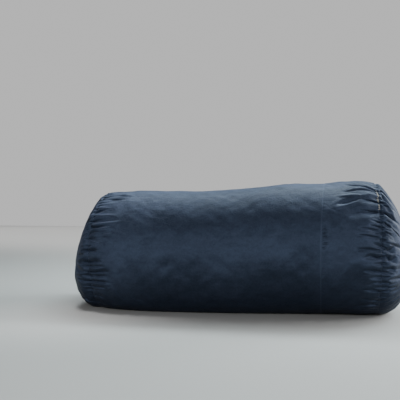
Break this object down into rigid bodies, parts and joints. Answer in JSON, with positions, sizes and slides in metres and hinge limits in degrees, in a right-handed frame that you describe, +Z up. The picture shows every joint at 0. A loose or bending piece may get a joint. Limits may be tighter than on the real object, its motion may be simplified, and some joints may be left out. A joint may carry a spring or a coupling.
{
  "type": "cylindrical bean bag",
  "caption": "Long plush cylindrical bean bag lying on its side, with gathered seams, a fuller band and domed round ends, to sit or lounge on.",
  "frame": {"origin": "on the floor, under the middle of the bag's bounding box", "axes": "+X along the bag towards the end with the fuller band, +Y to the back, +Z up"},
  "size_m": [1.8502, 0.8001, 0.7112],
  "materials": {
    "navy_plush": "short brushed navy plush, matt with a soft sheen"
  },
  "bodies": {
    "root": {"left_end_panel": "navy_plush", "main_sleeve": "navy_plush", "right_band": "navy_plush", "right_end_panel": "navy_plush"}
  },
  "joints": []
}
